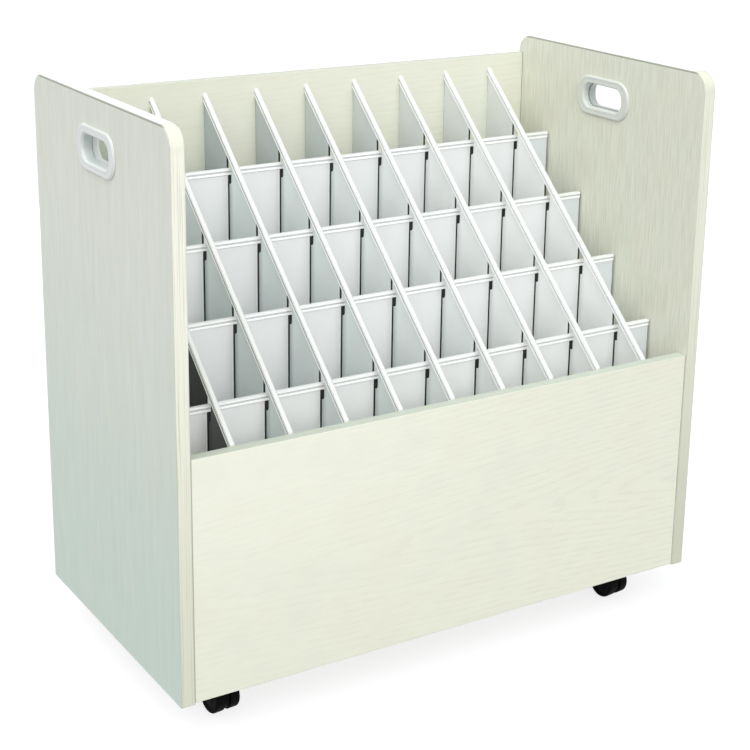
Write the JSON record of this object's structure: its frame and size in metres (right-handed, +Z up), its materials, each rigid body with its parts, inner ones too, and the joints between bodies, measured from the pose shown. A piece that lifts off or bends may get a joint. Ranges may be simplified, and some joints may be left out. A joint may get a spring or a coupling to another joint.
{
  "type": "mobile roll file organizer",
  "caption": "Open cabinet on swivel casters, with a sloping grid of slotted dividers that holds rolled drawings upright.",
  "frame": {"origin": "on the floor, under the middle of the cabinet: centre of the bounding box in X and Y, wheels' lowest points at z = 0", "axes": "+X to the right along the width seen from the front, +Y to the tall back panel (the low open front faces -Y), +Z up"},
  "size_m": [0.774, 0.4, 0.743],
  "materials": {
    "cream_laminate": "satin laminate over board, with a faint combed grain",
    "grey_divider_board": "matt grey faced fibreboard",
    "white_channel": "smooth white extruded plastic",
    "white_bezel": "smooth white moulded plastic",
    "black_plastic": "black moulded plastic, low sheen",
    "black_tread": "hard black plastic wheel",
    "bright_steel": "zinc plated steel"
  },
  "bodies": {
    "cabinet": {"back_panel": "cream_laminate", "bottom_panel": "cream_laminate", "cross_divider_1": "grey_divider_board", "cross_divider_2": "grey_divider_board", "cross_divider_3": "grey_divider_board", "cross_divider_4": "grey_divider_board", "cross_trim_1": "white_channel", "cross_trim_2": "white_channel", "cross_trim_3": "white_channel", "cross_trim_4": "white_channel", "front_left_caster_plate": "bright_steel", "front_panel": "cream_laminate", "front_right_caster_plate": "bright_steel", "left_inner_handle_bezel": "white_bezel", "left_outer_handle_bezel": "white_bezel", "left_side_panel": "cream_laminate", "rear_left_caster_plate": "bright_steel", "rear_right_caster_plate": "bright_steel", "right_inner_handle_bezel": "white_bezel", "right_outer_handle_bezel": "white_bezel", "right_side_panel": "cream_laminate", "sloping_divider_1": "grey_divider_board", "sloping_divider_2": "grey_divider_board", "sloping_divider_3": "grey_divider_board", "sloping_divider_4": "grey_divider_board", "sloping_divider_5": "grey_divider_board", "sloping_divider_6": "grey_divider_board", "sloping_divider_7": "grey_divider_board", "sloping_divider_8": "grey_divider_board", "sloping_divider_9": "grey_divider_board", "sloping_trim_1": "white_channel", "sloping_trim_2": "white_channel", "sloping_trim_3": "white_channel", "sloping_trim_4": "white_channel", "sloping_trim_5": "white_channel", "sloping_trim_6": "white_channel", "sloping_trim_7": "white_channel", "sloping_trim_8": "white_channel", "sloping_trim_9": "white_channel"},
    "front_left_swivel": {"front_left_caster_housing": "black_plastic", "front_left_caster_axle": "bright_steel"},
    "front_left_wheel_left": {"front_left_caster_wheel_left": "black_tread"},
    "front_left_wheel_right": {"front_left_caster_wheel_right": "black_tread"},
    "front_right_swivel": {"front_right_caster_housing": "black_plastic", "front_right_caster_axle": "bright_steel"},
    "front_right_wheel_left": {"front_right_caster_wheel_left": "black_tread"},
    "front_right_wheel_right": {"front_right_caster_wheel_right": "black_tread"},
    "rear_left_swivel": {"rear_left_caster_housing": "black_plastic", "rear_left_caster_axle": "bright_steel"},
    "rear_left_wheel_left": {"rear_left_caster_wheel_left": "black_tread"},
    "rear_left_wheel_right": {"rear_left_caster_wheel_right": "black_tread"},
    "rear_left_brake": {"rear_left_brake_pedal": "black_plastic"},
    "rear_right_swivel": {"rear_right_caster_housing": "black_plastic", "rear_right_caster_axle": "bright_steel"},
    "rear_right_wheel_left": {"rear_right_caster_wheel_left": "black_tread"},
    "rear_right_wheel_right": {"rear_right_caster_wheel_right": "black_tread"},
    "rear_right_brake": {"rear_right_brake_pedal": "black_plastic"}
  },
  "joints": [
    {"name": "front_left_swivel_turn", "type": "hinge", "parent": "cabinet", "child": "front_left_swivel", "pos_m": [-0.305, -0.121, 0.0537], "axis": [0, 0, 1], "continuous": true},
    {"name": "front_left_wheel_left_spin", "type": "hinge", "parent": "front_left_swivel", "child": "front_left_wheel_left", "pos_m": [-0.30352, -0.13794, 0.02], "axis": [0.9962, 0.0872, 0], "continuous": true},
    {"name": "front_left_wheel_right_spin", "type": "hinge", "parent": "front_left_swivel", "child": "front_left_wheel_right", "pos_m": [-0.30352, -0.13794, 0.02], "axis": [0.9962, 0.0872, 0], "continuous": true},
    {"name": "front_right_swivel_turn", "type": "hinge", "parent": "cabinet", "child": "front_right_swivel", "pos_m": [0.305, -0.121, 0.0537], "axis": [0, 0, 1], "continuous": true},
    {"name": "front_right_wheel_left_spin", "type": "hinge", "parent": "front_right_swivel", "child": "front_right_wheel_left", "pos_m": [0.30678, -0.13791, 0.02], "axis": [0.9945, 0.1045, 0], "continuous": true},
    {"name": "front_right_wheel_right_spin", "type": "hinge", "parent": "front_right_swivel", "child": "front_right_wheel_right", "pos_m": [0.30678, -0.13791, 0.02], "axis": [0.9945, 0.1045, 0], "continuous": true},
    {"name": "rear_left_swivel_turn", "type": "hinge", "parent": "cabinet", "child": "rear_left_swivel", "pos_m": [-0.305, 0.121, 0.0537], "axis": [0, 0, 1], "continuous": true},
    {"name": "rear_left_wheel_left_spin", "type": "hinge", "parent": "rear_left_swivel", "child": "rear_left_wheel_left", "pos_m": [-0.30293, 0.10413, 0.02], "axis": [0.9925, 0.1219, 0], "continuous": true},
    {"name": "rear_left_wheel_right_spin", "type": "hinge", "parent": "rear_left_swivel", "child": "rear_left_wheel_right", "pos_m": [-0.30293, 0.10413, 0.02], "axis": [0.9925, 0.1219, 0], "continuous": true},
    {"name": "rear_left_brake_rock", "type": "hinge", "parent": "rear_left_swivel", "child": "rear_left_brake", "pos_m": [-0.30136, 0.09132, 0.04234], "axis": [0.9925, 0.1219, 0], "range_deg": [0, 12]},
    {"name": "rear_right_swivel_turn", "type": "hinge", "parent": "cabinet", "child": "rear_right_swivel", "pos_m": [0.305, 0.121, 0.0537], "axis": [0, 0, 1], "continuous": true},
    {"name": "rear_right_wheel_left_spin", "type": "hinge", "parent": "rear_right_swivel", "child": "rear_right_wheel_left", "pos_m": [0.30089, 0.10451, 0.02], "axis": [0.9703, -0.2419, 0], "continuous": true},
    {"name": "rear_right_wheel_right_spin", "type": "hinge", "parent": "rear_right_swivel", "child": "rear_right_wheel_right", "pos_m": [0.30089, 0.10451, 0.02], "axis": [0.9703, -0.2419, 0], "continuous": true},
    {"name": "rear_right_brake_rock", "type": "hinge", "parent": "rear_right_swivel", "child": "rear_right_brake", "pos_m": [0.29777, 0.09199, 0.04234], "axis": [0.9703, -0.2419, 0], "range_deg": [0, 12]}
  ]
}
